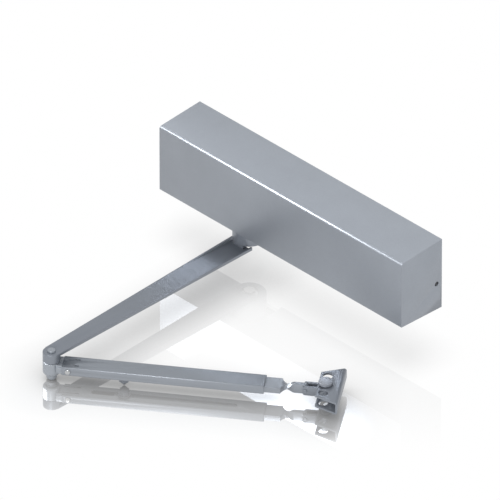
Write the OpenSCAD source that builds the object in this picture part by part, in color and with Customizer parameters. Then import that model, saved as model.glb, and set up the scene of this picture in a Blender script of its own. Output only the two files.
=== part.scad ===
// Surface-mounted door closer with a full cover, main arm, adjustable forearm and shoe.
// X runs along the cover, +Y points at the door and +Z is up. All sizes are in millimetres.
// The origin is the middle of the four door holes, on the face that lies against the door.

/* [Cover] */
// Length of the cover
cover_length = 315; // [300:1:360]
// Height of the cover against the door
cover_height = 76; // [72:0.1:90]
// Depth of the cover off the door
cover_depth = 52.8; // [50:0.1:70]
// How far the top and the bottom lean in from the door to the front
cover_draft = 2.6; // [0:0.1:3]
// Wall thickness of the cover
cover_wall = 2; // [1.2:0.1:2.4]
// Rounding of the upper front edge
cover_edge_r = 2.4; // [1:0.1:4]
// Rounding of the lower front edge
cover_lower_edge_r = 0.5; // [0.3:0.1:4]
// Radius of the lock screw holes in the end walls
lock_hole_r = 2.5; // [2.3:0.1:3.5]
// Distance of the lock screws from the door
lock_from_door = 6.6; // [6.5:0.1:9]
// Distance of the lock screws below the middle of the cover
lock_below_middle = 9.2; // [0:0.1:12]

/* [Mounting plate] */
// Thickness of the plate
plate_t = 4; // [3:0.1:4.2]
// Height of the plate
plate_height = 66; // [62:0.5:67]
// Door hole spacing along the cover
door_spacing_x = 230; // [180:1:240]
// Door hole spacing up and down
door_spacing_z = 19; // [16:0.5:30]
// Radius of the door holes
door_hole_r = 3.5; // [2.5:0.1:4]

/* [Closer body] */
// Distance of the bore and the pinion from the door
bore_from_door = 25; // [25:0.1:28]
// Radius of the bore
bore_r = 17; // [16.5:0.1:17.5]
// Wall of the cast tube round the bore
tube_wall = 3.5; // [3:0.1:3.6]
// Distance of the pinion from the middle, towards the left
pinion_offset = 67.5; // [60:0.5:70]
// Half height of the pinion boss
boss_half = 26; // [26:0.1:28]
// Radius of the pinion boss
boss_r = 19.5; // [18.5:0.1:20.5]

/* [Pinion and piston] */
// Number of pinion teeth
pinion_teeth = 14; // [13:1:15]
// Module of the teeth
tooth_module = 1.25; // [1.15:0.05:1.3]
// Opening angle of the pinion
opening_angle = 165; // [120:1:170]
// Radius of the pinion shaft in its bearings
shaft_r = 7.45; // [6.5:0.05:7.6]
// Length of each solid head of the piston
piston_head = 14; // [10:0.5:16]
// Wire diameter of the closer spring
spring_wire = 4.4; // [3:0.1:5]
// Turns of the closer spring
spring_turns = 14; // [8:1:16]

/* [Main arm] */
// Gap from the cover's lower back edge down to the top of the arm
arm_gap = 21.1; // [16:0.1:30]
// Distance between the pinion axis and the elbow axis
arm_length = 257.4; // [220:0.1:320]
// Thickness of the arm
arm_t = 5; // [4.5:0.1:6]
// Bevel along the arm's two lower edges
arm_bevel = 2; // [0.5:0.1:2.4]
// Half width of the arm at its hub end
arm_half_hub = 13.5; // [11.5:0.1:14]
// Half width of the arm at the elbow
arm_half_elbow = 8.1; // [6:0.05:8.2]
// Distance from the pinion axis to the square end of the arm
arm_end_gap = 9.8; // [9.5:0.1:13]
// Depth of the dish between the raised lips
dish_depth = 3; // [1.5:0.1:3.2]
// Length of the dish along the arm
dish_length = 56; // [40:1:80]
// Width of each raised lip
lip_w = 1.8; // [1.5:0.1:3]
// Radius of the arm hub
hub_r = 16; // [13.5:0.1:18]

/* [Elbow] */
// Radius of both knuckles
knuckle_r = 8.2; // [7.8:0.1:10]
// Height of the upper knuckle
upper_knuckle_h = 9.9; // [9:0.1:13]
// Height of the lower knuckle
lower_knuckle_h = 13.8; // [11.5:0.1:15]
// Radius of the elbow stud
stud_r = 3.8; // [3:0.05:4]

/* [Forearm] */
// Distance between the elbow axis and the shoe pin
forearm_length = 255.2; // [250:0.1:290]
// Angle of the forearm from the X axis, as shown
forearm_angle = 35.75; // [20:0.25:60]
// Width of the forearm tube
tube_w = 19.9; // [18:0.1:22]
// Height of the forearm tube
tube_h = 8.9; // [7.6:0.1:9.4]
// Wall of the forearm tube
forearm_wall = 1.5; // [1.2:0.1:1.8]
// Rounding of the tube's long edges
tube_edge_r = 1.4; // [0.6:0.1:1.6]
// Distance from the elbow axis to the start of the tube
tube_start = 10.9; // [9.8:0.1:12]
// Length of the tube
tube_length = 188.2; // [180:0.1:195]
// Distance from the elbow axis to the clamp screw, as shown
clamp_at = 67.7; // [60:0.1:100]
// Radius of the clamp screw
clamp_r = 2.5; // [2:0.1:2.8]

/* [Swivel and shoe] */
// Height of the rod's upright end
rod_end_h = 9.6; // [8:0.1:10.5]
// Thickness of the rod's upright end
rod_end_t = 4.2; // [3.5:0.1:4.6]
// Thickness of each cheek of the fork
cheek_t = 2.5; // [2:0.1:3.2]
// Height of the shoe
shoe_h = 13; // [12:0.1:15]
// Sheet thickness of the shoe
shoe_t = 1.8; // [1.5:0.1:2]
// Half width of the shoe at its open edge
shoe_half_open = 19; // [18.8:0.1:24]
// Half width of the shoe at its web
shoe_half_web = 28.6; // [26:0.1:34]
// Distance from the shoe pin to the open edge
shoe_open = 7; // [5.5:0.1:7.5]
// Distance from the shoe pin to the outside of the web
shoe_web = 15.2; // [12.5:0.1:16]
// Distance of the two fixing holes from the shoe pin
shoe_hole_offset = 13.55; // [12.5:0.05:13.8]
// Radius of the two fixing holes
shoe_hole_r = 4.5; // [3:0.1:4.6]
// Radius of the shoe pin
shoe_pin_r = 3; // [2.5:0.1:3.4]

/* [Hidden] */
$fn = 64;

silver_paint = [0.57, 0.60, 0.63];
arm_paint = [0.47, 0.50, 0.54];
zinc = [0.70, 0.72, 0.74];
cast_alloy = [0.62, 0.63, 0.64];
dark_steel = [0.36, 0.37, 0.39];
bronze = [0.66, 0.48, 0.28];
black_rubber = [0.08, 0.08, 0.08];

// Clearances: moving fits, seated pieces, faces that slide past each other, and a cut's overshoot
run_gap = 0.05;
seat_gap = 0.02;
face_gap = 0.05;
cut = 1;

half_length = cover_length / 2;
half_height = cover_height / 2;
inner_half_length = half_length - cover_wall;
inner_edge_r = 0.3;

// Plate and its end tabs
tab_gap = 2;
tab_height = 18;
tab_depth = 9;
plate_half = inner_half_length - tab_gap;
lock_screw_r = 2;
lock_screw_in = 4.5;
lock_screw_sunk = 1;
countersink_r = door_hole_r + 2.75;
countersink_depth = plate_t * 0.6;

// Cast body
tube_r = bore_r + tube_wall;
adjuster_room = 9.5;
flange_t = 3;
body_half = plate_half - plate_t - adjuster_room;
tube_half = body_half - flange_t;
plug_depth = 11;
plug_inner = tube_half - plug_depth;
ear_x = 105;
ear_z = 27;
ear_half_w = 11;
ear_reach = 5;
ear_t = 8;
body_screw_r = 3;
body_screw_head_r = 5;
body_screw_head_h = 6;
pinion_x = -pinion_offset;
bore_y = -bore_from_door;

// Pinion, its bearings, ring nuts and seals
pitch_r = pinion_teeth * tooth_module / 2;
tooth_pitch = PI * tooth_module;
pressure_angle = 20;
addendum = 0.92 * tooth_module;
dedendum = 1.16 * tooth_module;
rack_addendum = 0.8 * tooth_module;
rack_dedendum = 1.12 * tooth_module;
backlash = 0.12;
gear_tip_r = pitch_r + addendum;
gear_root_r = pitch_r - dedendum;
gear_base_r = pitch_r * cos(pressure_angle);
gear_half = 9;
flank_steps = 5;
bearing_in = bore_r - 0.5;
bearing_h = 6;
bearing_out = bearing_in + bearing_h;
bearing_r = 14;
ring_nut_r = 15;
ring_nut_flange_r = 17;
ring_nut_flange_h = 2;
seal_r = 10.5;
seal_h = 4;
ring_nut_top = boss_half + ring_nut_flange_h;
square_af = shaft_r * sqrt(2) - 0.05;
square_stub_top = ring_nut_top + 4.5;

// Piston travel and the slot that takes the pinion
travel = pitch_r * opening_angle * PI / 180;
slot_end_gap = 1.5;
slot_x0 = pinion_x - gear_tip_r - travel - slot_end_gap;
slot_x1 = pinion_x + gear_tip_r + slot_end_gap;
piston_x0 = slot_x0 - piston_head;
piston_x1 = slot_x1 + piston_head;
slot_root = pitch_r + rack_dedendum;
slot_back = gear_tip_r + 0.5;
rack_half = 13;
piston_r = bore_r - run_gap;
check_valve_r = 4;

// Spring, its seat and the adjuster
seat_room = 15;
seat_t = 5;
seat_x1 = plug_inner - seat_room;
seat_x0 = seat_x1 - seat_t;
adjuster_r = 5;
adjuster_travel = 12;
adjuster_collar_r = 8;
adjuster_collar_t = 3;
adjuster_x0 = seat_x0 - adjuster_travel - 3;
adjuster_head_af = 13;
adjuster_head_h = 6;
spring_r = bore_r - 1.4 - spring_wire / 2;
spring_x0 = piston_x1 + face_gap + spring_wire / 2 + 0.2;
spring_x1 = seat_x0 - face_gap - spring_wire / 2 - 0.2;
spring_sides = 6;
spring_steps = 10;

// Valves in their blocks on top of the tube
valve_r = 3;
valve_h = 7;
valve_block_half = 6;
valve_block_top = 26;
valve_x = [piston_x0 - 5, piston_x0 + 9, pinion_x + boss_r + 14];
valve_passage_r = 0.8;

// Arm levels
arm_top = -half_height - arm_gap;
arm_bottom = arm_top - arm_t;
hub_gap = 1.5;
hub_top = -ring_nut_top - 2;
hub_recess = 3;
hub_recess_r = 9;
hub_key_h = dish_depth;
hub_key_half = 6;
hub_rim = 1.4;
arm_washer_r = 8.4;
arm_washer_t = 1.6;
arm_screw_r = 2.95;
arm_screw_head_af = 10;
arm_screw_head_h = 4;
arm_screw_grip = 18;
arm_side_step = (arm_half_hub - arm_half_elbow) / (arm_length - arm_end_gap);

// Elbow levels
elbow_y = bore_y - arm_length;
upper_knuckle_bottom = arm_top - upper_knuckle_h;
spacer_t = 0.4;
lower_knuckle_top = upper_knuckle_bottom - spacer_t;
lower_knuckle_bottom = lower_knuckle_top - lower_knuckle_h;
knuckle_edge = 0.8;
knuckle_foot = 2.6;
stud_head = 1.5;
stud_foot = 1.2;
bush_r = stud_r + 1.7;
elbow_washer_t = 1.2;
elbow_washer_r = stud_r + 1.7;
elbow_nut_h = 3.8;
elbow_nut_r = stud_r + 1.1;

// Forearm levels and places, measured from the elbow axis
forearm_drop = 4.75;
forearm_mid = lower_knuckle_top - forearm_drop;
tube_top = forearm_mid + tube_h / 2;
tube_bottom = forearm_mid - tube_h / 2;
tube_end = tube_start + tube_length;
inner_w = tube_w - 2 * forearm_wall;
inner_h = tube_h - 2 * forearm_wall;
slide_gap = 0.1;
neck_half = 7.4;
tongue_end = 36;
tongue_rivet_at = 16.6;
tongue_rivet_r = 1.8;
tongue_rivet_head_r = 2.8;
tongue_rivet_head_h = 1.5;
tab_half = 4.5;
tab_cut_w = 1.6;
tab_root = 26.4;
tab_hole_l = 4;
tab_dip = 1.9;
slit_w = 0.7;
slot_from = 40;
slot_to = 170;
slot_half = clamp_r + 0.5;

rod_from = 58;
rod_w = inner_w - 2 * slide_gap;
rod_t = inner_h - 2 * slide_gap;
bar_to_pin = 40.8;
waist_to_pin = 36;
upright_to_pin = 28.6;
rivet_to_pin = 18.3;
rod_end_to_pin = 15.7;
bar_end = forearm_length - bar_to_pin;
waist_at = forearm_length - waist_to_pin;
upright_from = forearm_length - upright_to_pin;
rivet_at = forearm_length - rivet_to_pin;
rod_end = forearm_length - rod_end_to_pin;
rod_tip_r = 5.4;
waist_w = 5.4;
twist_steps = 20;
clamp_washer_r = 5.85;
clamp_washer_t = 1;
clamp_head_h = 9.2;
clamp_head_af = 8.5;
clamp_cone_h = 4.1;
clamp_tip_r = 0.9;
clamp_end_in = 0.3;

// Fork and shoe levels and places, measured from the shoe pin away from the elbow
shoe_inner_h = shoe_h - 2 * shoe_t;
fork_h = shoe_inner_h - 2 * slide_gap;
fork_gap = rod_end_t + 2 * slide_gap;
fork_w = fork_gap + 2 * cheek_t;
fork_far = -20.7;
fork_throat = -7.6;
fork_eye_r = 6.4;
fork_rivet_r = 1.4;
fork_rivet_head_r = 1.9;
fork_rivet_head_h = 0.8;
shoe_top = forearm_mid + shoe_h / 2;
shoe_bottom = forearm_mid - shoe_h / 2;
shoe_bend = 3;
pin_head_r = 6.6;
pin_head_h = 2.9;
pin_neck_r = 4.8;
pin_neck_h = 1.2;
pin_tail_r = 4.4;
pin_tail_h = 1.2;

// Places a piece on the pinion axis
module at_pinion() {
    translate([pinion_x, bore_y, 0]) children();
}

// Places a piece on the elbow axis, with its x along the forearm
module at_elbow() {
    translate([pinion_x, elbow_y, 0]) rotate([0, 0, forearm_angle]) children();
}

// Places a piece on the shoe pin, with its x pointing away from the elbow
module at_shoe() {
    at_elbow() translate([forearm_length, 0, 0]) children();
}

// Turned disc from z0 to z1 with rounded lower and upper edges
module turned(r, z0, z1, low, high) {
    rotate_extrude() {
        translate([0, z0 + low]) square([r, z1 - z0 - low - high]);
        if (low > 0) {
            translate([0, z0]) square([r - low, z1 - z0]);
            translate([r - low, z0 + low]) intersection() {
                circle(low);
                translate([-r, -low]) square([r + low, low]);
            }
        }
        if (high > 0) {
            translate([0, z1 - high]) square([r - high, high]);
            translate([r - high, z1 - high]) intersection() {
                circle(high);
                translate([-r + high, 0]) square([r, high]);
            }
        }
    }
}

// Cylinder along X from x0 to x1
module bar_x(r, x0, x1) {
    translate([x0, 0, 0]) rotate([0, 90, 0]) cylinder(r = r, h = x1 - x0);
}

// Cylinder along Y from y0 to y1
module bar_y(r, y0, y1) {
    translate([0, y1, 0]) rotate([90, 0, 0]) cylinder(r = r, h = y1 - y0);
}

// Upright cylinder from z0 to z1
module bar_z(r, z0, z1) {
    translate([0, 0, z0]) cylinder(r = r, h = z1 - z0);
}

// Box between two corners
module block(low, high) {
    translate(low) cube(high - low);
}

// Upright hexagonal or square prism, sized across its flats
module flats_z(af, sides, z0, z1) {
    translate([0, 0, z0]) rotate([0, 0, 180 / sides]) {
        cylinder(r = af / 2 / cos(180 / sides), h = z1 - z0, $fn = sides);
    }
}

// Rounded rectangle, centred
module rounded_rect(w, h, r) {
    square([w - 2 * r, h], center = true);
    square([w, h - 2 * r], center = true);
    for (sx = [-1, 1]) {
        for (sz = [-1, 1]) {
            translate([sx * (w / 2 - r), sz * (h / 2 - r)]) circle(r);
        }
    }
}

// Side outline of the cover: x is the distance off the door, y is the height
module cover_side(inset, upper_r, lower_r) {
    back = half_height - inset;
    front = back - cover_draft * (cover_depth - inset) / cover_depth;
    depth = cover_depth - inset;
    difference() {
        polygon([[0, -back], [depth, -front], [depth, front], [0, back]]);
        for (edge = [[1, upper_r], [-1, lower_r]]) {
            side = edge[0];
            r = edge[1];
            translate([depth - r, side * (front - r)]) difference() {
                scale([1, side]) square([2 * r, 2 * r]);
                circle(r);
            }
        }
    }
}

// Extrudes a side outline along X over the middle of the part
module along_x(half) {
    translate([-half, 0, 0]) rotate([90, 0, 90]) mirror([1, 0, 0]) linear_extrude(2 * half) children();
}

module cover() {
    color(silver_paint) difference() {
        along_x(half_length) cover_side(0, cover_edge_r, cover_lower_edge_r);
        along_x(inner_half_length) {
            cover_side(cover_wall, max(cover_edge_r - cover_wall, inner_edge_r),
                       max(cover_lower_edge_r - cover_wall, inner_edge_r));
            translate([-cut, -half_height + cover_wall]) square([2 * cut, cover_height - 2 * cover_wall]);
        }
        for (s = [-1, 1]) {
            translate([0, -lock_from_door, -lock_below_middle]) {
                if (s < 0) bar_x(lock_hole_r, -half_length - cut, -inner_half_length + cut);
                if (s > 0) bar_x(lock_hole_r, inner_half_length - cut, half_length + cut);
            }
        }
        at_pinion() bar_z(hub_r + hub_gap, -half_height - cut, -half_height + cover_wall + cover_draft + cut);
        block([pinion_x - hub_r - hub_gap, bore_y, -half_height - cut],
              [pinion_x + hub_r + hub_gap, cut, -half_height + cover_wall + cover_draft + cut]);
    }
}

module cover_lock_screws() {
    color(dark_steel) for (s = [0, 1]) {
        mirror([s, 0, 0]) translate([0, -lock_from_door, -lock_below_middle]) difference() {
            bar_x(lock_screw_r, plate_half - lock_screw_in, half_length - lock_screw_sunk);
            translate([half_length - lock_screw_sunk - 2, 0, 0]) rotate([0, 90, 0]) {
                flats_z(2, 6, 0, 2 + cut);
            }
        }
    }
}

module mounting_plate() {
    color(zinc) difference() {
        union() {
            block([-plate_half, -plate_t, -plate_height / 2], [plate_half, 0, plate_height / 2]);
            for (s = [0, 1]) {
                mirror([s, 0, 0]) block(
                    [plate_half - plate_t, -plate_t - tab_depth, -lock_below_middle - tab_height / 2],
                    [plate_half, 0, -lock_below_middle + tab_height / 2]);
            }
        }
        for (sx = [-1, 1]) {
            for (sz = [-1, 1]) {
                translate([sx * door_spacing_x / 2, 0, sz * door_spacing_z / 2]) {
                    bar_y(door_hole_r, -plate_t - cut, cut);
                    translate([0, -plate_t + countersink_depth, 0]) rotate([90, 0, 0]) {
                        cylinder(r1 = door_hole_r, r2 = countersink_r, h = countersink_depth);
                    }
                }
                translate([sx * ear_x, 0, sz * ear_z]) bar_y(body_screw_r + seat_gap, -plate_t - cut, cut);
            }
        }
        for (s = [0, 1]) {
            mirror([s, 0, 0]) translate([0, -lock_from_door, -lock_below_middle]) {
                bar_x(lock_screw_r + seat_gap, plate_half - plate_t - cut, plate_half + cut);
            }
        }
    }
}

module body_screws() {
    color(dark_steel) for (sx = [-1, 1]) {
        for (sz = [-1, 1]) {
            translate([sx * ear_x, 0, sz * ear_z]) difference() {
                union() {
                    bar_y(body_screw_r, -plate_t - ear_t - cut, -0.5);
                    bar_y(body_screw_head_r, -plate_t - ear_t - body_screw_head_h, -plate_t - ear_t);
                }
                translate([0, -plate_t - ear_t - body_screw_head_h + 3, 0]) rotate([90, 0, 0]) {
                    flats_z(5, 6, 0, 3 + cut);
                }
            }
        }
    }
}

// Raised block that holds a valve, standing on the tube
module valve_block(x0, x1) {
    block([x0, bore_y - valve_block_half, bore_r], [x1, bore_y + valve_block_half, valve_block_top]);
}

module closer_body() {
    color(cast_alloy) difference() {
        union() {
            translate([0, bore_y, 0]) bar_x(tube_r, -tube_half, tube_half);
            at_pinion() bar_z(boss_r, -boss_half, boss_half);
            valve_block(valve_x[0] - valve_block_half, valve_x[1] + valve_block_half);
            valve_block(valve_x[2] - valve_block_half, valve_x[2] + valve_block_half);
            for (sx = [-1, 1]) {
                for (sz = [0, 1]) {
                    mirror([0, 0, sz]) block(
                        [sx * ear_x - ear_half_w, -plate_t - ear_t, bore_r - 4],
                        [sx * ear_x + ear_half_w, -plate_t, ear_z + ear_reach]);
                }
            }
        }
        translate([0, bore_y, 0]) bar_x(bore_r, -tube_half - cut, tube_half + cut);
        at_pinion() {
            bar_z(bearing_r + seat_gap, -bearing_out, bearing_out);
            bar_z(ring_nut_r + seat_gap, bearing_out, boss_half + cut);
            bar_z(ring_nut_r + seat_gap, -boss_half - cut, -bearing_out);
        }
        for (x = valve_x) {
            translate([x, bore_y, 0]) {
                bar_z(valve_r + run_gap, valve_block_top - valve_h, valve_block_top + cut);
                bar_z(valve_passage_r, bore_r - cut, valve_block_top);
            }
        }
        for (sx = [-1, 1]) {
            for (sz = [-1, 1]) {
                translate([sx * ear_x, 0, sz * ear_z]) bar_y(body_screw_r + 0.3, -plate_t - ear_t - cut, cut);
            }
        }
    }
}

// Plug in one end of the tube, with a groove for its seal and a flange outside
module end_plug() {
    difference() {
        union() {
            bar_x(bore_r - seat_gap, plug_inner, tube_half);
            bar_x(tube_r - 1, tube_half, body_half);
        }
        translate([plug_inner + 4, 0, 0]) rotate([0, 90, 0]) difference() {
            cylinder(r = bore_r + cut, h = 3);
            cylinder(r = bore_r - 2.5, h = 3);
        }
    }
}

module check_end_plug() {
    color(zinc) translate([0, bore_y, 0]) mirror([1, 0, 0]) difference() {
        end_plug();
        translate([body_half - 2, 0, 0]) rotate([0, 90, 0]) flats_z(14, 6, 0, 2 + cut);
    }
}

module spring_end_plug() {
    color(zinc) translate([0, bore_y, 0]) difference() {
        end_plug();
        bar_x(adjuster_r + run_gap, plug_inner - cut, body_half + cut);
        bar_x(adjuster_r + 2.3, plug_inner + 7.8, plug_inner + 10);
    }
}

module end_plug_seals() {
    color(black_rubber) for (s = [0, 1]) {
        mirror([s, 0, 0]) translate([plug_inner + 5.5, bore_y, 0]) rotate([0, 90, 0]) {
            rotate_extrude() translate([bore_r - 1.3, 0]) circle(1.15);
        }
    }
}

module adjuster_seal() {
    color(black_rubber) translate([plug_inner + 8.9, bore_y, 0]) rotate([0, 90, 0]) {
        rotate_extrude() translate([adjuster_r + 1.15, 0]) circle(1.05);
    }
}

// Rack teeth, in line with the pinion as shown
module rack_teeth() {
    half = tooth_pitch / 4 - backlash / 2;
    tip = half - rack_addendum * tan(pressure_angle);
    root = half + rack_dedendum * tan(pressure_angle);
    count = floor((travel + 2 * tooth_pitch) / tooth_pitch);
    for (k = [-count:2]) {
        translate([k * tooth_pitch, -pitch_r]) {
            polygon([[-root, -rack_dedendum - 0.5], [root, -rack_dedendum - 0.5],
                     [root, -rack_dedendum], [tip, rack_addendum],
                     [-tip, rack_addendum], [-root, -rack_dedendum]]);
        }
    }
}

module piston() {
    color(dark_steel) difference() {
        union() {
            difference() {
                translate([0, bore_y, 0]) bar_x(piston_r, piston_x0, piston_x1);
                block([slot_x0, bore_y - slot_root, -bore_r - cut], [slot_x1, bore_y + slot_back, bore_r + cut]);
            }
            at_pinion() translate([0, 0, -rack_half]) linear_extrude(2 * rack_half) rack_teeth();
        }
        translate([0, bore_y, 0]) {
            bar_x(check_valve_r + seat_gap, piston_x1 - 8, piston_x1 + cut);
            bar_x(1.5, piston_x1 - piston_head - cut, piston_x1);
        }
    }
}

module piston_check_valve() {
    color(bronze) translate([0, bore_y, 0]) difference() {
        bar_x(check_valve_r, piston_x1 - 8 + 0.1, piston_x1 - 0.5);
        bar_x(1.5, piston_x1 - 9, piston_x1 + cut);
    }
}

// One ring of points round the spring wire, at step i
function wire_ring(i) =
    let (turn = 360 * i / spring_steps)
    let (x = spring_x0 + (spring_x1 - spring_x0) * i / (spring_turns * spring_steps))
    [for (j = [0:spring_sides - 1])
        let (a = 360 * j / spring_sides)
        let (r = spring_r + spring_wire / 2 * cos(a))
        [x + spring_wire / 2 * sin(a), r * cos(turn), r * sin(turn)]];

module closer_spring() {
    rings = spring_turns * spring_steps;
    points = [for (i = [0:rings]) each wire_ring(i)];
    sides = [for (i = [0:rings - 1]) for (j = [0:spring_sides - 1])
        let (a = i * spring_sides + j)
        let (b = i * spring_sides + (j + 1) % spring_sides)
        each [[a, b, b + spring_sides], [a, b + spring_sides, a + spring_sides]]];
    first = [for (j = [1:spring_sides - 2]) [0, j + 1, j]];
    last = [for (j = [1:spring_sides - 2])
        [rings * spring_sides, rings * spring_sides + j, rings * spring_sides + j + 1]];
    color(dark_steel) translate([0, bore_y, 0]) polyhedron(points, concat(sides, first, last));
}

module spring_seat() {
    color(zinc) translate([0, bore_y, 0]) difference() {
        bar_x(bore_r - 2 * run_gap, seat_x0, seat_x1);
        bar_x(adjuster_r + run_gap, seat_x0 - cut, seat_x1 + cut);
    }
}

module spring_adjuster() {
    color(zinc) translate([0, bore_y, 0]) {
        bar_x(adjuster_r, adjuster_x0, body_half + face_gap);
        bar_x(adjuster_collar_r, plug_inner - face_gap - adjuster_collar_t, plug_inner - face_gap);
        translate([body_half + face_gap, 0, 0]) rotate([0, 90, 0]) {
            flats_z(adjuster_head_af, 6, 0, adjuster_head_h);
        }
    }
}

// Angle between a tooth's middle and its flank at radius r
function involute(a) = tan(a) * 180 / PI - a;
function flank_angle(r) =
    90 / pinion_teeth - backlash / pitch_r * 90 / PI
    + involute(pressure_angle) - involute(acos(min(1, gear_base_r / r)));

// Points of one pinion tooth whose middle lies at angle mid
function tooth_points(mid) = concat(
    [for (i = [0:flank_steps])
        let (r = gear_root_r + (gear_tip_r - gear_root_r) * i / flank_steps)
        [r * cos(mid - flank_angle(r)), r * sin(mid - flank_angle(r))]],
    [for (i = [flank_steps:-1:0])
        let (r = gear_root_r + (gear_tip_r - gear_root_r) * i / flank_steps)
        [r * cos(mid + flank_angle(r)), r * sin(mid + flank_angle(r))]]);

module pinion_shaft() {
    outline = [for (k = [0:pinion_teeth - 1]) each tooth_points(-90 + (k + 0.5) * 360 / pinion_teeth)];
    color(dark_steel) at_pinion() difference() {
        union() {
            translate([0, 0, -gear_half]) linear_extrude(2 * gear_half) polygon(outline);
            bar_z(gear_root_r - 0.2, -bearing_in, bearing_in);
            bar_z(shaft_r, gear_half, ring_nut_top + 0.5);
            bar_z(shaft_r, -ring_nut_top - 0.5, -gear_half);
            flats_z(square_af, 4, ring_nut_top, square_stub_top);
            flats_z(square_af, 4, arm_top + hub_recess + 0.2, -ring_nut_top);
        }
        bar_z(arm_screw_r + seat_gap, arm_top - cut, arm_top + hub_recess + arm_screw_grip + cut);
    }
}

module pinion_bearings() {
    color(zinc) at_pinion() for (s = [0, 1]) {
        mirror([0, 0, s]) difference() {
            bar_z(bearing_r, bearing_in + 0.5, bearing_out);
            bar_z(shaft_r + run_gap, 0, bearing_out + cut);
        }
    }
}

module pinion_ring_nuts() {
    color(zinc) at_pinion() for (s = [0, 1]) {
        mirror([0, 0, s]) difference() {
            union() {
                bar_z(ring_nut_r, bearing_out, boss_half);
                bar_z(ring_nut_flange_r, boss_half, ring_nut_top);
            }
            bar_z(shaft_r + 1, 0, ring_nut_top + cut);
            bar_z(seal_r, ring_nut_top - seal_h, ring_nut_top + cut);
        }
    }
}

module pinion_seals() {
    color(black_rubber) at_pinion() for (s = [0, 1]) {
        mirror([0, 0, s]) difference() {
            bar_z(seal_r - seat_gap, ring_nut_top - seal_h + 0.1, ring_nut_top - 0.3);
            bar_z(shaft_r + run_gap, 0, ring_nut_top + cut);
        }
    }
}

// Slotted needle valve screw at place i
module valve_screw(i) {
    color(bronze) translate([valve_x[i], bore_y, 0]) difference() {
        bar_z(valve_r, valve_block_top - valve_h + 0.2, valve_block_top - 0.3);
        block([-valve_r - cut, -0.5, valve_block_top - 1.8], [valve_r + cut, 0.5, valve_block_top + cut]);
    }
}

module sweep_valve() {
    valve_screw(0);
}

module latch_valve() {
    valve_screw(1);
}

module backcheck_valve() {
    valve_screw(2);
}

module arm_hub() {
    color(arm_paint) at_pinion() difference() {
        union() {
            turned(hub_r, arm_top, hub_top, hub_rim, 0.8);
            block([-hub_key_half, -hub_r + hub_rim + 0.2, arm_top - hub_key_h + face_gap],
                  [hub_key_half, -arm_end_gap, arm_top + hub_rim]);
        }
        flats_z(square_af + 2 * run_gap, 4, arm_top - cut, hub_top + cut);
        bar_z(hub_recess_r, arm_top - cut, arm_top + hub_recess);
    }
}

// Half width of the arm at distance d in front of the pinion axis
function arm_half(d) = arm_half_hub - arm_side_step * (d - arm_end_gap);

// Wedges that bevel the arm's two lower edges, each turned to follow its side
module lower_edge_bevels() {
    for (s = [0, 1]) {
        mirror([s, 0, 0]) translate([arm_half_hub, -arm_end_gap, arm_bottom]) {
            rotate([0, 0, -atan(arm_side_step)]) rotate([90, 0, 0]) translate([0, 0, -cut]) {
                linear_extrude(arm_length) {
                    polygon([[-arm_bevel - cut, -cut], [cut, arm_bevel + cut], [cut, -cut]]);
                }
            }
        }
    }
}

module main_arm() {
    dish_end = arm_end_gap + dish_length;
    color(arm_paint) at_pinion() difference() {
        union() {
            difference() {
                translate([0, 0, arm_bottom]) linear_extrude(arm_t) {
                    polygon([[-arm_half_hub, -arm_end_gap], [-arm_half_elbow, -arm_length],
                             [arm_half_elbow, -arm_length], [arm_half_hub, -arm_end_gap]]);
                }
                lower_edge_bevels();
            }
            translate([0, -arm_length, 0]) {
                turned(knuckle_r, upper_knuckle_bottom, arm_top, knuckle_edge, knuckle_edge);
            }
        }
        intersection() {
            translate([0, 0, arm_top - dish_depth]) linear_extrude(dish_depth + cut) {
                polygon([[-arm_half(0) + lip_w, 0], [-arm_half(dish_end) + lip_w, -dish_end],
                         [arm_half(dish_end) - lip_w, -dish_end], [arm_half(0) - lip_w, 0]]);
            }
            translate([-hub_r, 0, arm_top]) rotate([90, 0, 90]) linear_extrude(2 * hub_r) {
                polygon([[cut, cut], [-dish_end, cut], [-dish_end, 0], [-hub_r - 4, -dish_depth],
                         [cut, -dish_depth]]);
            }
        }
        translate([0, -arm_length, 0]) bar_z(stud_r + seat_gap, upper_knuckle_bottom - cut, arm_top + cut);
    }
}

module arm_washer() {
    color(zinc) at_pinion() difference() {
        bar_z(arm_washer_r, arm_top + hub_recess - arm_washer_t, arm_top + hub_recess);
        bar_z(arm_screw_r + 0.3, arm_top - cut, arm_top + hub_recess + cut);
    }
}

module arm_screw() {
    seat = arm_top + hub_recess - arm_washer_t;
    color(zinc) at_pinion() {
        bar_z(arm_screw_r, seat - cut, seat + arm_screw_grip);
        flats_z(arm_screw_head_af, 6, seat - arm_screw_head_h, seat);
    }
}

module elbow_stud() {
    foot = lower_knuckle_bottom - elbow_washer_t - elbow_nut_h - stud_foot;
    color(zinc) at_pinion() translate([0, -arm_length, 0]) {
        turned(stud_r, foot, arm_top + stud_head, 0.4, 0.5);
    }
}

module elbow_spacer() {
    color(zinc) at_pinion() translate([0, -arm_length, 0]) difference() {
        bar_z(knuckle_r - 0.4, lower_knuckle_top + face_gap, upper_knuckle_bottom);
        bar_z(stud_r + seat_gap, lower_knuckle_top - cut, upper_knuckle_bottom + cut);
    }
}

module elbow_washer() {
    color(zinc) at_pinion() translate([0, -arm_length, 0]) difference() {
        bar_z(elbow_washer_r, lower_knuckle_bottom - elbow_washer_t, lower_knuckle_bottom - face_gap);
        bar_z(stud_r + seat_gap, lower_knuckle_bottom - 2 * cut, lower_knuckle_bottom + cut);
    }
}

module elbow_nut() {
    top = lower_knuckle_bottom - elbow_washer_t;
    color(zinc) at_pinion() translate([0, -arm_length, 0]) difference() {
        turned(elbow_nut_r, top - elbow_nut_h, top, 0.8, 0.2);
        bar_z(stud_r + seat_gap, top - elbow_nut_h - cut, top + cut);
    }
}

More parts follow.
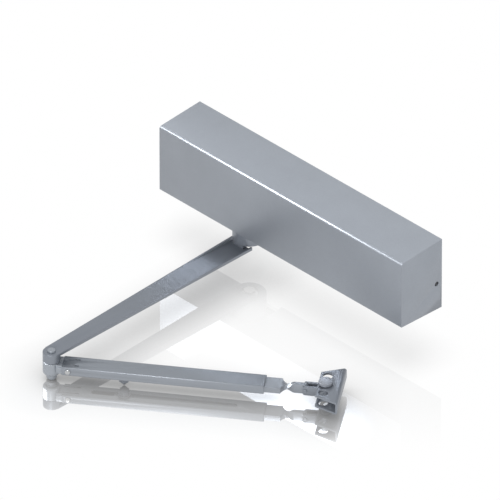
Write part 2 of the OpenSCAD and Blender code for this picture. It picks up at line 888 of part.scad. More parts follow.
module elbow_bush() {
    color(bronze) at_elbow() difference() {
        bar_z(bush_r, lower_knuckle_bottom + 0.4, lower_knuckle_top - 0.1);
        bar_z(stud_r + run_gap, lower_knuckle_bottom - cut, lower_knuckle_top + cut);
    }
}

// Ramp pressed into the tube's top wall, seen from the side; drop lowers it
module tab_outline(drop, t) {
    polygon([[tube_start, tube_top - tab_dip - drop], [tab_root - tab_hole_l, tube_top - drop],
             [tab_root, tube_top - drop], [tab_root, tube_top - drop - t],
             [tab_root - tab_hole_l, tube_top - drop - t], [tube_start, tube_top - tab_dip - drop - t]]);
}

module elbow_knuckle() {
    tongue_half_h = inner_h / 2 - slide_gap;
    color(arm_paint) at_elbow() difference() {
        union() {
            turned(knuckle_r, lower_knuckle_bottom, lower_knuckle_top, knuckle_foot, knuckle_edge / 2);
            block([bush_r, -neck_half, tube_bottom], [tube_start, neck_half, lower_knuckle_top]);
            block([bush_r, -inner_w / 2 + slide_gap, forearm_mid - tongue_half_h],
                  [tongue_end, inner_w / 2 - slide_gap, forearm_mid + tongue_half_h]);
        }
        bar_z(bush_r + seat_gap, lower_knuckle_bottom - cut, lower_knuckle_top + cut);
        translate([0, 0, forearm_mid]) translate([tongue_rivet_at, 0, 0]) {
            bar_y(tongue_rivet_r + seat_gap, -tube_w, tube_w);
        }
        translate([0, tab_half + slide_gap, 0]) rotate([90, 0, 0]) {
            linear_extrude(2 * (tab_half + slide_gap)) tab_outline(slide_gap, -tube_h);
        }
        translate([0, tab_half + slide_gap, 0]) rotate([90, 0, 0]) {
            linear_extrude(2 * (tab_half + slide_gap)) tab_outline(-slide_gap, forearm_wall + 2 * slide_gap);
        }
    }
}

module tongue_rivet() {
    color(zinc) at_elbow() translate([tongue_rivet_at, 0, forearm_mid]) {
        bar_y(tongue_rivet_r, -tube_w / 2, tube_w / 2);
        for (s = [0, 1]) {
            mirror([0, s, 0]) translate([0, tube_w / 2, 0]) rotate([-90, 0, 0]) {
                turned(tongue_rivet_head_r, 0, tongue_rivet_head_h, 0, tongue_rivet_head_h - 0.1);
            }
        }
    }
}

module forearm_tube() {
    color(arm_paint) at_elbow() difference() {
        union() {
            difference() {
                translate([tube_start, 0, forearm_mid]) rotate([90, 0, 90]) linear_extrude(tube_length) {
                    difference() {
                        rounded_rect(tube_w, tube_h, tube_edge_r);
                        square([inner_w, inner_h], center = true);
                    }
                }
                block([tube_start - cut, -tab_half - slit_w, forearm_mid],
                      [tab_root - cut, tab_half + slit_w, tube_top + cut]);
            }
            translate([0, tab_half, 0]) rotate([90, 0, 0]) linear_extrude(2 * tab_half) {
                tab_outline(0, forearm_wall);
            }
        }
        for (s = [-1, 1]) {
            slit_y = s * (tab_half + slit_w / 2);
            block([tab_root - tab_hole_l, slit_y - tab_cut_w / 2, tube_bottom - cut],
                  [tab_root, slit_y + tab_cut_w / 2, tube_top + cut]);
            block([tube_start - cut, slit_y - slit_w / 2, tube_bottom - cut],
                  [tab_root - tab_hole_l + slit_w, slit_y + slit_w / 2, forearm_mid]);
        }
        block([slot_from, -slot_half, tube_bottom - cut], [slot_to, slot_half, forearm_mid]);
        for (x = [slot_from, slot_to]) {
            translate([x, 0, 0]) bar_z(slot_half, tube_bottom - cut, forearm_mid);
        }
        translate([tongue_rivet_at, 0, forearm_mid]) bar_y(tongue_rivet_r + seat_gap, -tube_w, tube_w);
    }
}

// Half size of the twisted neck, easing from a to b as t goes from 0 to 1
function ease(a, b, t) = a + (b - a) * (1 - cos(180 * t)) / 2;

// Corner points of the neck's section at t, from the flat bar at 0 to the upright end at 1
function neck_ring(t) =
    let (x = bar_end - 0.2 + (upright_from - bar_end + 0.4) * t)
    let (waist = (waist_at - bar_end) / (upright_from - bar_end))
    let (wide = t < waist
        ? ease(rod_w - 1, waist_w, sqrt(t / waist))
        : ease(waist_w, rod_end_h, (t - waist) / (1 - waist)))
    let (thick = ease(rod_t, rod_end_t, t))
    let (turn = ease(0, -90, t))
    [for (c = [[-1, -1], [1, -1], [1, 1], [-1, 1]])
        let (y = c[0] * wide / 2)
        let (z = c[1] * thick / 2)
        [x, y * cos(turn) - z * sin(turn), y * sin(turn) + z * cos(turn)]];

// Twisted neck between the flat bar and the upright end of the rod
module twisted_neck() {
    points = [for (i = [0:twist_steps]) each neck_ring(i / twist_steps)];
    sides = [for (i = [0:twist_steps - 1]) for (j = [0:3])
        let (a = i * 4 + j)
        let (b = i * 4 + (j + 1) % 4)
        each [[a, b + 4, b], [a, a + 4, b + 4]]];
    last = twist_steps * 4;
    ends = [[0, 1, 2], [0, 2, 3], [last, last + 2, last + 1], [last, last + 3, last + 2]];
    polyhedron(points, concat(sides, ends));
}

module forearm_rod() {
    color(arm_paint) at_elbow() translate([0, 0, forearm_mid]) difference() {
        union() {
            block([rod_from, -rod_w / 2, -rod_t / 2], [bar_end, rod_w / 2, rod_t / 2]);
            twisted_neck();
            block([upright_from, -rod_end_t / 2, -rod_end_h / 2],
                  [rod_end - 2, rod_end_t / 2, rod_end_h / 2]);
            intersection() {
                block([upright_from, -rod_end_t / 2, -rod_end_h / 2],
                      [rod_end, rod_end_t / 2, rod_end_h / 2]);
                translate([rod_end - rod_tip_r, 0, 0]) bar_y(rod_tip_r, -rod_end_t / 2, rod_end_t / 2);
            }
        }
        translate([clamp_at, 0, 0]) bar_z(clamp_r + run_gap, -rod_t, rod_t);
        translate([rivet_at, 0, 0]) bar_y(fork_rivet_r + run_gap, -rod_end_t, rod_end_t);
    }
}

module clamp_washer() {
    color(zinc) at_elbow() translate([clamp_at, 0, 0]) difference() {
        turned(clamp_washer_r, tube_bottom - face_gap - clamp_washer_t, tube_bottom - face_gap, 0.3, 0.2);
        bar_z(clamp_r + run_gap, tube_bottom - 3, tube_bottom + cut);
    }
}

module clamp_screw() {
    seat = tube_bottom - 2 * face_gap - clamp_washer_t;
    tip = seat - clamp_head_h;
    color(zinc) at_elbow() translate([clamp_at, 0, 0]) {
        bar_z(clamp_r, seat - cut, forearm_mid + rod_t / 2 - clamp_end_in);
        flats_z(clamp_head_af, 6, tip + clamp_cone_h, seat);
        translate([0, 0, tip]) cylinder(r1 = clamp_tip_r, r2 = clamp_head_af / 2, h = clamp_cone_h);
    }
}

module swivel_fork() {
    fork_round = 2.4;
    color(arm_paint) at_shoe() translate([0, 0, forearm_mid]) difference() {
        union() {
            bar_z(fork_eye_r, -fork_h / 2, fork_h / 2);
            block([fork_far + fork_round, -fork_w / 2, -fork_h / 2], [0, fork_w / 2, fork_h / 2]);
            block([fork_far, -fork_w / 2, -fork_h / 2 + fork_round],
                  [0, fork_w / 2, fork_h / 2 - fork_round]);
            for (s = [-1, 1]) {
                translate([fork_far + fork_round, 0, s * (fork_h / 2 - fork_round)]) {
                    bar_y(fork_round, -fork_w / 2, fork_w / 2);
                }
            }
        }
        block([fork_far - cut, -fork_gap / 2, -fork_h], [fork_throat, fork_gap / 2, fork_h]);
        bar_z(shoe_pin_r + run_gap, -fork_h, fork_h);
        translate([rivet_at - forearm_length, 0, 0]) bar_y(fork_rivet_r + seat_gap, -fork_w, fork_w);
    }
}

module fork_rivet() {
    color(zinc) at_shoe() translate([rivet_at - forearm_length, 0, forearm_mid]) {
        bar_y(fork_rivet_r, -fork_w / 2, fork_w / 2);
        for (s = [0, 1]) {
            mirror([0, s, 0]) translate([0, fork_w / 2, 0]) rotate([-90, 0, 0]) {
                turned(fork_rivet_head_r, 0, fork_rivet_head_h, 0, fork_rivet_head_h - 0.1);
            }
        }
    }
}

// C section of the shoe: x runs from the open edge to the web
module shoe_section() {
    difference() {
        union() {
            translate([-shoe_open, shoe_bottom]) square([shoe_open + shoe_web - shoe_bend, shoe_h]);
            translate([-shoe_open, shoe_bottom + shoe_bend]) {
                square([shoe_open + shoe_web, shoe_h - 2 * shoe_bend]);
            }
            for (z = [shoe_bottom + shoe_bend, shoe_top - shoe_bend]) {
                translate([shoe_web - shoe_bend, z]) circle(shoe_bend);
            }
        }
        translate([-shoe_open - cut, shoe_bottom + shoe_t]) {
            square([shoe_open + cut + shoe_web - shoe_t, shoe_inner_h]);
        }
    }
}

module shoe_bracket() {
    color(arm_paint) at_shoe() difference() {
        intersection() {
            translate([0, shoe_half_web + cut, 0]) rotate([90, 0, 0]) {
                linear_extrude(2 * (shoe_half_web + cut)) shoe_section();
            }
            translate([0, 0, shoe_bottom - cut]) linear_extrude(shoe_h + 2 * cut) {
                polygon([[-shoe_open, -shoe_half_open], [shoe_web - 0.5, -shoe_half_web],
                         [shoe_web, -shoe_half_web], [shoe_web, shoe_half_web],
                         [shoe_web - 0.5, shoe_half_web], [-shoe_open, shoe_half_open]]);
            }
        }
        for (s = [-1, 1]) {
            translate([0, s * shoe_hole_offset, 0]) bar_z(shoe_hole_r, shoe_bottom - cut, shoe_top + cut);
        }
        bar_z(shoe_pin_r + seat_gap, shoe_bottom - cut, shoe_top + cut);
    }
}

module shoe_pin() {
    color(arm_paint) at_shoe() {
        bar_z(shoe_pin_r, shoe_bottom - cut / 2, shoe_top + cut / 2);
        bar_z(pin_neck_r, shoe_top, shoe_top + pin_neck_h);
        turned(pin_head_r, shoe_top + pin_neck_h, shoe_top + pin_neck_h + pin_head_h, 0.2, 0.6);
        turned(pin_tail_r, shoe_bottom - pin_tail_h, shoe_bottom, pin_tail_h - 0.1, 0);
    }
}

cover();
cover_lock_screws();
mounting_plate();
body_screws();
closer_body();
check_end_plug();
spring_end_plug();
end_plug_seals();
adjuster_seal();
piston();
piston_check_valve();
closer_spring();
spring_seat();
spring_adjuster();
pinion_shaft();
pinion_bearings();
pinion_ring_nuts();
pinion_seals();
sweep_valve();
latch_valve();
backcheck_valve();
arm_hub();
main_arm();
arm_washer();
arm_screw();
elbow_stud();
elbow_spacer();
elbow_washer();
elbow_nut();
elbow_bush();
elbow_knuckle();
tongue_rivet();
forearm_tube();
forearm_rod();
clamp_washer();
clamp_screw();
swivel_fork();
fork_rivet();
shoe_bracket();
shoe_pin();
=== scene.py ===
import math

import bmesh
import bpy
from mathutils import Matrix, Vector


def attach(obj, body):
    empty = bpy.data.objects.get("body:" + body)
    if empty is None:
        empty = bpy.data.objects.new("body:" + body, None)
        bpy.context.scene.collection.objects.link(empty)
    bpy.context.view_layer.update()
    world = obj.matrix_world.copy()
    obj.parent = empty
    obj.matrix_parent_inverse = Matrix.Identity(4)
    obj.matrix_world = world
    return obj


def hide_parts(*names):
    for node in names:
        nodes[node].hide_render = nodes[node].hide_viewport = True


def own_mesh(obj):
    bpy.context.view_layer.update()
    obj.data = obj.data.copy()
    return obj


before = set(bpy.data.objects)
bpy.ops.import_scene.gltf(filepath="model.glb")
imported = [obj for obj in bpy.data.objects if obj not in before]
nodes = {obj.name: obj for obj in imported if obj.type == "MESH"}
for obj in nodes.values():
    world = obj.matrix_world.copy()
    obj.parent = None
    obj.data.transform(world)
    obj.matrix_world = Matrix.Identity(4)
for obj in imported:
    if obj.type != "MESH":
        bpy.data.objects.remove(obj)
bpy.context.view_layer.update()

scene = bpy.context.scene
scene.view_settings.view_transform = "Standard"


# Camera: a long lens that looks down over the right front corner of the closer, so that all its
# edges stay nearly parallel.
LOOK_AT = Vector((-0.02866, -0.06315, -0.03516))
AZIMUTH = math.radians(45)
ELEVATION = math.radians(35)
FRAME_WIDTH = 0.46157
LENS = 1600
SENSOR = 36
NEAREST_SEEN = 0.1
FARTHEST_SEEN = 60
camera_data = bpy.data.cameras.new("camera")
camera_data.lens = LENS
camera_data.sensor_width = SENSOR
camera_data.clip_start = NEAREST_SEEN
camera_data.clip_end = FARTHEST_SEEN
camera = bpy.data.objects.new("camera", camera_data)
scene.collection.objects.link(camera)
to_camera = Vector((math.sin(AZIMUTH) * math.cos(ELEVATION),
                    -math.cos(AZIMUTH) * math.cos(ELEVATION),
                    math.sin(ELEVATION)))
camera.location = LOOK_AT + to_camera * (FRAME_WIDTH * LENS / SENSOR)
camera.rotation_mode = "QUATERNION"
camera.rotation_quaternion = (-to_camera).to_track_quat("-Z", "Y")
scene.camera = camera


# Room: an even white studio that lights the paint from all round, a little brighter behind the
# part. The camera sees it as plain white.
ROOM_LEVEL = 0.72
ROOM_TINT = (0.98, 0.99, 1.0, 1)
BACKDROP_LEVEL = 0.2
BACKDROP_WAY = (-0.579, 0.579, 0.574)
BACKDROP_RIM = 0.80
BACKDROP_HEART = 0.97
PLAIN_WHITE = (1, 1, 1, 1)


def add_node(tree, kind, **settings):
    """A new shader node with its plain settings, such as its operation."""
    node = tree.nodes.new("ShaderNode" + kind)
    for label, value in settings.items():
        setattr(node, label, value)
    return node


def feed(tree, socket, term):
    """Gives an input its number, vector or colour, or links an output to it."""
    if isinstance(term, bpy.types.NodeSocket):
        tree.links.new(term, socket)
    else:
        socket.default_value = term


def calc(tree, operation, a, b):
    """One Math node on two outputs or numbers."""
    node = add_node(tree, "Math", operation=operation)
    feed(tree, node.inputs[0], a)
    feed(tree, node.inputs[1], b)
    return node.outputs[0]


def vector_calc(tree, operation, a, b):
    """One Vector Math node on two vectors; a dot product or a distance is a number."""
    node = add_node(tree, "VectorMath", operation=operation)
    feed(tree, node.inputs[0], a)
    feed(tree, node.inputs[1], b)
    return node.outputs["Value" if operation in ("DOT_PRODUCT", "DISTANCE") else "Vector"]


def ramp(tree, value, start, end, at_start, at_end, step="LINEAR"):
    """Goes from at_start to at_end while value goes from start to end."""
    node = add_node(tree, "MapRange", interpolation_type=step)
    feed(tree, node.inputs["Value"], value)
    for label, number in (("From Min", start), ("From Max", end), ("To Min", at_start), ("To Max", at_end)):
        node.inputs[label].default_value = number
    return node.outputs["Result"]


def mix(tree, share, base, top):
    """A mix of two shaders, with share of the second."""
    node = add_node(tree, "MixShader")
    for socket, term in zip(node.inputs, (share, base, top)):
        feed(tree, socket, term)
    return node.outputs[0]


world = bpy.data.worlds.new("studio")
scene.world = world
world.use_nodes = True
sky = world.node_tree
sky.nodes.clear()
way = add_node(sky, "TexCoord").outputs["Generated"]
behind = ramp(sky, vector_calc(sky, "DOT_PRODUCT", way, BACKDROP_WAY),
              BACKDROP_RIM, BACKDROP_HEART, 0, BACKDROP_LEVEL, "SMOOTHSTEP")
room = add_node(sky, "Background")
room.inputs["Color"].default_value = ROOM_TINT
feed(sky, room.inputs["Strength"], calc(sky, "ADD", behind, ROOM_LEVEL))
seen_room = add_node(sky, "Background")
seen_room.inputs["Color"].default_value = PLAIN_WHITE
camera_ray = add_node(sky, "LightPath").outputs["Is Camera Ray"]
studio = mix(sky, camera_ray, room.outputs[0], seen_room.outputs[0])
feed(sky, add_node(sky, "OutputWorld").inputs["Surface"], studio)


# Lamps: a long highlight for the cover's folded front edge, a soft one above it, and two broad
# ones at the front for the arms. None of them lights the table.
LAMP_DISTANCE = 3
TO_EDGE_LAMP = Vector((-0.579, -0.470, 0.667))
TO_ARM_EDGE_LAMP = Vector((0.224, -0.547, 0.808))
TO_ARM_SIDE_LAMP = Vector((0.50, -0.84, 0.20))
TOP_LAMP_PLACE = Vector((0.35, -0.22, 0.60))
ARM_NODES = ("arm_hub", "main_arm", "arm_washer", "arm_screw", "elbow_stud", "elbow_spacer",
             "elbow_washer", "elbow_nut", "elbow_bush", "elbow_knuckle", "tongue_rivet", "forearm_tube",
             "forearm_rod", "clamp_washer", "clamp_screw", "swivel_fork", "fork_rivet", "shoe_bracket",
             "shoe_pin")
CLOSER_NODES = tuple(name for name in nodes if name not in ARM_NODES)
LIT_ON_THE_ARMS = ("forearm_rod", "elbow_knuckle", "shoe_pin")


def lamp(name, place, size, power, lit_names):
    """A square lamp that points at the object and lights only the named nodes."""
    data = bpy.data.lights.new(name, "AREA")
    data.shape = "SQUARE"
    data.size = size
    data.energy = power
    obj = bpy.data.objects.new(name, data)
    obj.location = place
    obj.rotation_mode = "QUATERNION"
    obj.rotation_quaternion = (LOOK_AT - place).to_track_quat("-Z", "Y")
    scene.collection.objects.link(obj)
    lit = bpy.data.collections.new(name + "_lit")
    for lit_name in lit_names:
        lit.objects.link(nodes[lit_name])
    obj.light_linking.receiver_collection = lit
    return obj


edge_lamp = lamp("edge_lamp", LOOK_AT + TO_EDGE_LAMP * LAMP_DISTANCE, size=2.0, power=185,
                 lit_names=CLOSER_NODES + LIT_ON_THE_ARMS)
edge_lamp.visible_diffuse = False
lamp("top_lamp", TOP_LAMP_PLACE, size=0.4, power=2.4, lit_names=CLOSER_NODES)
arm_edge_lamp = lamp("arm_edge_lamp", LOOK_AT + TO_ARM_EDGE_LAMP * LAMP_DISTANCE, size=1.2, power=34,
                     lit_names=ARM_NODES)
arm_edge_lamp.visible_diffuse = False
arm_side_lamp = lamp("arm_side_lamp", LOOK_AT + TO_ARM_SIDE_LAMP * LAMP_DISTANCE, size=1.2, power=45,
                     lit_names=ARM_NODES)
arm_side_lamp.visible_glossy = False


# Table: a white lacquered board. The camera sees it white, with soft contact shadows painted in
# where the part is near above it, and a faint polish beside the arms, in which their undersides are seen.
# From below it is clear.
TABLE_Z = -0.0898
TABLE_HALF = 6
TABLE_SEEN = 1.0
TABLE_COVERED = 0.08
TABLE_BOUNCE = (0.8, 0.8, 0.8, 1)
SHADOW_REACH = 0.058
SHADOW_RAYS = 16
POLISH_TINT = (1.08, 1.08, 1.08)
FOREARM_LINE = ((-0.0530, -0.3030), (0.1540, -0.1540))
ARM_LINE = ((-0.0675, -0.0300), (-0.0675, -0.2824))
COVER_LINE = ((-0.1575, -0.0260), (0.1575, -0.0260))


def scaled(tree, vector, factor):
    """A vector or colour times a number."""
    node = add_node(tree, "VectorMath", operation="SCALE")
    feed(tree, node.inputs[0], vector)
    feed(tree, node.inputs["Scale"], factor)
    return node.outputs[0]


def polish_patch(tree, where, line, near, far, share):
    """The table's polish round a line on it: share up to near, and none from far on."""
    start, end = (Vector((x, y, TABLE_Z)) for x, y in line)
    along = end - start
    from_start = vector_calc(tree, "SUBTRACT", where, start)
    passed = vector_calc(tree, "DOT_PRODUCT", from_start, along / along.length_squared)
    on_line = add_node(tree, "Clamp")
    feed(tree, on_line.inputs["Value"], passed)
    nearest = scaled(tree, along, on_line.outputs[0])
    distance = vector_calc(tree, "DISTANCE", from_start, nearest)
    return ramp(tree, distance, near, far, share, 0, "SMOOTHSTEP")


table_mesh = bpy.data.meshes.new("table")
corners = [(x * TABLE_HALF, y * TABLE_HALF, TABLE_Z) for x, y in ((-1, -1), (1, -1), (1, 1), (-1, 1))]
table_mesh.from_pydata(corners, [], [(0, 1, 2, 3)])
table = bpy.data.objects.new("table", table_mesh)
scene.collection.objects.link(table)
white_table = bpy.data.materials.new("white_table")
white_table.use_nodes = True
board = white_table.node_tree
board.nodes.clear()
path = add_node(board, "LightPath")
# Painted shadow: the white the camera sees, and the polish, darken where the part is close above.
covered = add_node(board, "AmbientOcclusion", samples=SHADOW_RAYS)
covered.inputs["Distance"].default_value = SHADOW_REACH
shadow = ramp(board, covered.outputs["AO"], 0, 1, TABLE_COVERED, TABLE_SEEN)
seen_white = add_node(board, "Emission")
feed(board, seen_white.inputs["Strength"], shadow)
bounce = add_node(board, "BsdfDiffuse")
bounce.inputs["Color"].default_value = TABLE_BOUNCE
polish = add_node(board, "BsdfGlossy")
polish.inputs["Roughness"].default_value = 0
feed(board, polish.inputs["Color"], scaled(board, POLISH_TINT, shadow))
where = add_node(board, "TexCoord").outputs["Object"]
by_forearm = polish_patch(board, where, FOREARM_LINE, near=0.012, far=0.058, share=0.60)
by_arm = polish_patch(board, where, ARM_LINE, near=0.010, far=0.075, share=0.22)
by_cover = polish_patch(board, where, COVER_LINE, near=0.020, far=0.150, share=0.08)
polished = calc(board, "MAXIMUM", calc(board, "MAXIMUM", by_forearm, by_arm), by_cover)
seen_polish = calc(board, "MULTIPLY", polished, path.outputs["Is Camera Ray"])
seen = calc(board, "MAXIMUM", path.outputs["Is Camera Ray"], path.outputs["Is Glossy Ray"])
plain = mix(board, seen, bounce.outputs[0], seen_white.outputs[0])
lacquer = mix(board, seen_polish, plain, polish.outputs[0])
from_below = add_node(board, "NewGeometry").outputs["Backfacing"]
clear = add_node(board, "BsdfTransparent").outputs[0]
feed(board, add_node(board, "OutputMaterial").inputs["Surface"], mix(board, from_below, lacquer, clear))
table_mesh.materials.append(white_table)


# Mounting plate: a stamped steel plate that is screwed to the door, zinc plated. Its finish and
# all the others below have the same grain: flakes or crystals, a slow mottle, and a fine peel.
PLATED_EDGE = 0.00015
PAINTED_EDGE = 0.00025
EDGE_STEPS = 2
EDGE_ANGLE = math.radians(32)
SAME_POINT = 0.000002
SAME_FACE = math.radians(0.4)
PEEL_DEPTH = 0.00006
PEEL_STRENGTH = 0.12
FLAKE_SPREAD = (0.35, 0.65)
CLOUD_SPREAD = (0.3, 0.7)
CLOUD_GLOSS = 0.6
ZINC = (0.55, 0.56, 0.57)


def group(name, inputs, outputs):
    """An empty shader node group: (name, kind, value) for each input, (name, kind) for each output."""
    made = bpy.data.node_groups.new(name, "ShaderNodeTree")
    for label, kind, value in inputs:
        made.interface.new_socket(name=label, in_out="INPUT", socket_type=kind).default_value = value
    for label, kind in outputs:
        made.interface.new_socket(name=label, in_out="OUTPUT", socket_type=kind)
    return made, made.nodes.new("NodeGroupInput").outputs, made.nodes.new("NodeGroupOutput").inputs


def noise(tree, where, per_metre, detail):
    """A noise on the object's own coordinates, with so many features per metre."""
    node = add_node(tree, "TexNoise")
    node.inputs["Detail"].default_value = detail
    feed(tree, node.inputs["Scale"], per_metre)
    feed(tree, node.inputs["Vector"], where)
    return node.outputs["Fac"]


grained, given, result = group("grained_finish",
    [("Color", "NodeSocketColor", (0.3, 0.3, 0.3, 1)), ("Roughness", "NodeSocketFloat", 0.4),
     ("Flake", "NodeSocketFloat", 0.06), ("Flakes per metre", "NodeSocketFloat", 2600),
     ("Mottle", "NodeSocketFloat", 0.03), ("Mottle per metre", "NodeSocketFloat", 28),
     ("Peel", "NodeSocketFloat", 0.2), ("Peel per metre", "NodeSocketFloat", 620)],
    [("Color", "NodeSocketColor"), ("Roughness", "NodeSocketFloat"), ("Height", "NodeSocketFloat")])
where = add_node(grained, "TexCoord").outputs["Object"]
flake = ramp(grained, noise(grained, where, given["Flakes per metre"], detail=1), *FLAKE_SPREAD, -1, 1)
cloud = ramp(grained, noise(grained, where, given["Mottle per metre"], detail=3), *CLOUD_SPREAD, -1, 1)
peel = noise(grained, where, given["Peel per metre"], detail=2)
spark = calc(grained, "MULTIPLY", flake, given["Flake"])
drift = calc(grained, "MULTIPLY", cloud, given["Mottle"])
shade = calc(grained, "ADD", calc(grained, "ADD", spark, drift), 1)
feed(grained, result["Color"], scaled(grained, given["Color"], shade))
gloss = calc(grained, "MULTIPLY", drift, CLOUD_GLOSS)
feed(grained, result["Roughness"], calc(grained, "SUBTRACT", given["Roughness"], gloss))
feed(grained, result["Height"], calc(grained, "MULTIPLY", peel, given["Peel"]))


def metal_finish(name, color, roughness, metallic, depth=PEEL_DEPTH, **grain):
    """A finish with the grain group's colour, roughness and relief; grain names its inputs."""
    made = bpy.data.materials.new(name)
    made.use_nodes = True
    tree = made.node_tree
    shader = tree.nodes["Principled BSDF"]
    shader.inputs["Metallic"].default_value = metallic
    finish = add_node(tree, "Group", node_tree=grained)
    finish.inputs["Color"].default_value = (*color, 1)
    finish.inputs["Roughness"].default_value = roughness
    for label, value in grain.items():
        finish.inputs[label.replace("_", " ").capitalize()].default_value = value
    bump = add_node(tree, "Bump")
    bump.inputs["Strength"].default_value = PEEL_STRENGTH
    bump.inputs["Distance"].default_value = depth
    feed(tree, shader.inputs["Base Color"], finish.outputs["Color"])
    feed(tree, shader.inputs["Roughness"], finish.outputs["Roughness"])
    feed(tree, bump.inputs["Height"], finish.outputs["Height"])
    feed(tree, shader.inputs["Normal"], bump.outputs["Normal"])
    return made


def dress(name, material, edge_width=PAINTED_EDGE):
    """Gives a CAD node its material, joins its faces, and rounds its sharp edges a little."""
    obj = nodes[name]
    obj.data.materials.clear()
    obj.data.materials.append(material)
    join = obj.modifiers.new("join", "WELD")
    join.merge_threshold = SAME_POINT
    flat = obj.modifiers.new("flat", "DECIMATE")
    flat.decimate_type = "DISSOLVE"
    flat.angle_limit = SAME_FACE
    if edge_width:
        edge = obj.modifiers.new("edge", "BEVEL")
        edge.width = edge_width
        edge.segments = EDGE_STEPS
        edge.limit_method = "ANGLE"
        edge.angle_limit = EDGE_ANGLE
        edge.harden_normals = True
        edge.miter_outer = "MITER_ARC"
    for face in obj.data.polygons:
        face.use_smooth = True
    return obj


zinc_plate = metal_finish("zinc_plate", ZINC, roughness=0.28, metallic=1, flake=0.03, mottle=0.05,
                          mottle_per_metre=90)
plate = dress("mounting_plate", zinc_plate, PLATED_EDGE)
flat_faces = plate.modifiers.new("flat faces", "WEIGHTED_NORMAL")
flat_faces.mode = "FACE_AREA"
flat_faces.weight = 100


# Closer body: a cast aluminium housing, bored through for the piston and across for the pinion.
# It keeps its cast skin, and its four ears sit on the plate.
ALLOY = (0.42, 0.42, 0.43)
CAST_DEPTH = 0.00015
cast_alloy = metal_finish("cast_alloy", ALLOY, roughness=0.5, metallic=0.9, depth=CAST_DEPTH, flake=0.05,
                          flakes_per_metre=1400, mottle=0.1, mottle_per_metre=60, peel=1, peel_per_metre=380)
dress("closer_body", cast_alloy, 0)


# Body screws: four oiled steel socket screws that draw the body down on the plate.
OILED = (0.12, 0.12, 0.125)
oiled_steel = metal_finish("oiled_steel", OILED, roughness=0.35, metallic=1, flake=0.03, mottle=0.08,
                           mottle_per_metre=120)
dress("body_screws", oiled_steel, 0)


# End plugs: two turned and plated steel plugs that close the cylinder, each on a rubber ring,
# with a smaller ring round the adjuster's stem.
RUBBER = (0.02, 0.02, 0.02)
seal_rubber = metal_finish("seal_rubber", RUBBER, roughness=0.6, metallic=0, flake=0, mottle=0.1,
                           mottle_per_metre=200)
dress("check_end_plug", zinc_plate, PLATED_EDGE)
dress("spring_end_plug", zinc_plate, PLATED_EDGE)
dress("end_plug_seals", seal_rubber, 0)
dress("adjuster_seal", seal_rubber, 0)


# Piston: ground steel with the rack that turns the pinion, and a brass check valve pressed into
# its head, wet with oil.
BRASS = (0.42, 0.26, 0.11)
valve_brass = metal_finish("valve_brass", BRASS, roughness=0.35, metallic=1, flake=0.04, mottle=0.08,
                           mottle_per_metre=120)
dress("piston", oiled_steel, 0)
dress("piston_check_valve", valve_brass, 0)


# Closer spring: oiled round wire, coiled. It pushes between the piston and a plated seat, which
# the adjuster screw moves. It is cut in two, a long part at the piston's end and a short part at the seat's
# end.
SPRING_SPLIT_X = 0.0640
SPRING_LEFT_X = -0.04156
SPRING_RIGHT_X = 0.10546
ON_THE_CUT = 0.0000001
coils = nodes["closer_spring"]


def spring_part(name, end_x):
    """The coils from the split to end_x, cut off and closed as a part of their own on the closer."""
    wire = bmesh.new()
    wire.from_mesh(coils.data)
    bmesh.ops.remove_doubles(wire, verts=wire.verts, dist=SAME_POINT)
    cut = bmesh.ops.bisect_plane(wire, geom=wire.verts[:] + wire.edges[:] + wire.faces[:], dist=ON_THE_CUT,
                                 plane_co=(SPRING_SPLIT_X, 0, 0), plane_no=(1, 0, 0),
                                 clear_outer=end_x < SPRING_SPLIT_X, clear_inner=end_x > SPRING_SPLIT_X)
    rim = [part for part in cut["geom_cut"] if isinstance(part, bmesh.types.BMEdge)]
    bmesh.ops.holes_fill(wire, edges=rim)
    bmesh.ops.recalc_face_normals(wire, faces=wire.faces)
    mesh = bpy.data.meshes.new(name)
    wire.to_mesh(mesh)
    wire.free()
    mesh.materials.append(oiled_steel)
    part = bpy.data.objects.new(name, mesh)
    scene.collection.objects.link(part)
    part.matrix_world = coils.matrix_world
    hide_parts("closer_spring")
    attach(part, "closer")
    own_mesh(part)


spring_part("spring_long_part", SPRING_LEFT_X)
spring_part("spring_short_part", SPRING_RIGHT_X)
dress("spring_seat", zinc_plate, PLATED_EDGE)
dress("spring_adjuster", zinc_plate, PLATED_EDGE)


# Pinion: an oiled steel shaft with its teeth, in two plated bearings. A ring nut holds each
# bearing in the body, with a rubber seal round the shaft.
dress("pinion_shaft", oiled_steel, 0)
dress("pinion_bearings", zinc_plate, PLATED_EDGE)
dress("pinion_ring_nuts", zinc_plate, PLATED_EDGE)
dress("pinion_seals", seal_rubber, 0)


# Regulating valves: three slotted brass screws in blocks on top of the body, for the sweep, the
# latch and the backcheck.
dress("sweep_valve", valve_brass, 0)
dress("latch_valve", valve_brass, 0)
dress("backcheck_valve", valve_brass, 0)


# Cover: a sheet steel box, sprayed in satin silver. It goes over the body and is held by a small
# screw at each end.
COVER_SILVER = (0.33, 0.355, 0.395)
COVER_EDGE = 0.0004
cover_paint = metal_finish("cover_paint", COVER_SILVER, roughness=0.38, metallic=0.5)
dress("cover", cover_paint, COVER_EDGE)
dress("cover_lock_screws", oiled_steel, 0)


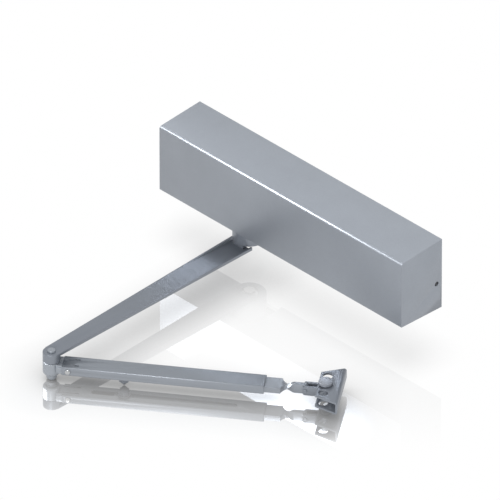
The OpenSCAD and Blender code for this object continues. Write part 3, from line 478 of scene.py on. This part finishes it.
# Main arm: a round hub on the pinion's square and a tapered flat bar that is fixed to it, in a
# darker silver than the cover. A plated screw and washer clamp the hub to the shaft.
ARM_SILVER = (0.25, 0.27, 0.305)
ARM_GRAIN = {"flake": 0.01, "mottle": 0.02, "peel": 0.02}
arm_paint = metal_finish("arm_paint", ARM_SILVER, roughness=0.36, metallic=0.55, **ARM_GRAIN)
dress("arm_hub", arm_paint)
dress("main_arm", arm_paint)
dress("arm_washer", zinc_plate, PLATED_EDGE)
dress("arm_screw", zinc_plate, PLATED_EDGE)


# Elbow: a turned stud through the arm's end, with its spacer, washer and nut, and the forearm's
# knuckle that turns on it round a brass bush. All but the spacer and the bush get a lighter copy
# of the arm's paint, which is painted light for the extra light on their upright sides.
# Painted light: the arm's silver made lighter to stand in for the light on the elbow's upright sides.
ELBOW_LIT_SILVER = (0.36, 0.385, 0.42)
elbow_lit_paint = metal_finish("elbow_lit_paint", ELBOW_LIT_SILVER, roughness=0.34, metallic=0.55)
dress("elbow_stud", elbow_lit_paint)
dress("elbow_spacer", arm_paint)
dress("elbow_washer", elbow_lit_paint)
dress("elbow_nut", elbow_lit_paint)
dress("elbow_bush", valve_brass, 0)
dress("elbow_knuckle", elbow_lit_paint)


# Forearm tube: a flat steel tube with rounded edges, two slits at its elbow end and a long slot
# underneath. A bright rivet holds the knuckle's tongue in it.
FOREARM_SILVER = (0.30, 0.322, 0.355)
forearm_paint = metal_finish("forearm_paint", FOREARM_SILVER, roughness=0.36, metallic=0.55, **ARM_GRAIN)
dress("forearm_tube", forearm_paint)
dress("tongue_rivet", zinc_plate, PLATED_EDGE)


# Forearm rod: a flat bar, twisted by a quarter turn at its neck, that slides in the tube. The
# clamp screw under the tube and its washer hold it at the length that is set.
dress("forearm_rod", forearm_paint)
dress("clamp_washer", arm_paint)
dress("clamp_screw", arm_paint)


# Swivel fork: a steel fork that takes the rod's upright end, held by a rivet that is painted
# over.
dress("swivel_fork", arm_paint)
dress("fork_rivet", arm_paint)


# Shoe: a folded steel bracket that is screwed to the door frame, and the lighter pin through it
# that the fork turns on.
PIN_SILVER = (0.34, 0.36, 0.40)
pin_paint = metal_finish("pin_paint", PIN_SILVER, roughness=0.34, metallic=0.55)
dress("shoe_bracket", arm_paint)
dress("shoe_pin", pin_paint)
